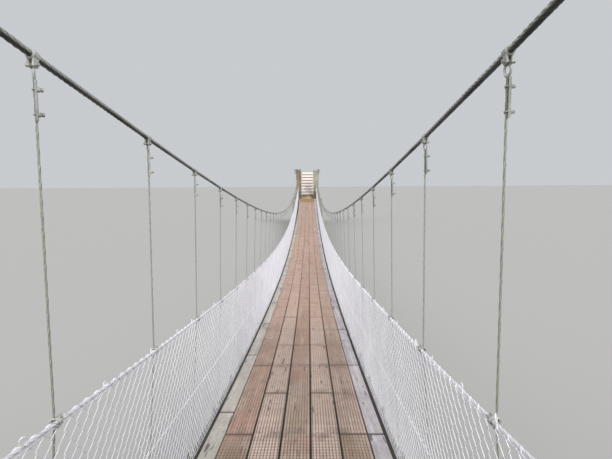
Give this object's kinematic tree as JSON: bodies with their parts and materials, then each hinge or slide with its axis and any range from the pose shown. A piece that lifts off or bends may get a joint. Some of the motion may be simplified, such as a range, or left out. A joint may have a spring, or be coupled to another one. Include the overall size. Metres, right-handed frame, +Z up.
{
  "type": "rope suspension footbridge",
  "caption": "Narrow suspension footbridge: wire ropes over low masonry towers carry a sagging boarded deck on thin rope hangers between wire net sides, with a stair at each end.",
  "frame": {"origin": "on the ground, at the middle of the span and of the width (bottom centre of the whole bridge)", "axes": "+Z up, +Y along the bridge from the near end to the far end, +X to the right of that walk"},
  "size_m": [2.2, 39.8, 4.2246],
  "materials": {
    "concrete": "weathered cast concrete with moss",
    "steps": "worn pale rendered steps",
    "post": "weathered reddish masonry post",
    "cap": "grey cast cap",
    "boards": "weathered brown boards under welded mesh",
    "beam": "dark weathered timber",
    "cable": "twisted galvanised wire rope, dulled green-grey",
    "rail": "bright galvanised wire rope",
    "net": "galvanised woven wire netting"
  },
  "bodies": {
    "root": {"abutment_near": "concrete", "landing_near": "boards", "stair_near": "steps", "tower_post_near_left": "post", "tower_cap_near_left": "cap", "anchor_block_near_left": "concrete", "tower_post_near_right": "post", "tower_cap_near_right": "cap", "anchor_block_near_right": "concrete", "abutment_far": "concrete", "landing_far": "boards", "stair_far": "steps", "tower_post_far_left": "post", "tower_cap_far_left": "cap", "anchor_block_far_left": "concrete", "tower_post_far_right": "post", "tower_cap_far_right": "cap", "anchor_block_far_right": "concrete", "main_cable_left": "cable", "handrail_cable_left": "rail", "side_net_left_1": "net", "side_net_left_2": "net", "main_cable_right": "cable", "handrail_cable_right": "rail", "side_net_right_1": "net", "side_net_right_2": "net", "deck_boards_1": "boards", "deck_boards_2": "boards", "deck_boards_3": "boards", "deck_boards_4": "boards", "deck_boards_5": "boards", "deck_boards_6": "boards", "deck_boards_7": "boards", "deck_boards_8": "boards", "deck_frame_1": "beam", "deck_frame_2": "beam", "deck_frame_3": "beam", "deck_frame_4": "beam", "deck_frame_5": "beam", "deck_frame_6": "beam", "deck_frame_7": "beam", "deck_frame_8": "beam"}
  },
  "joints": []
}
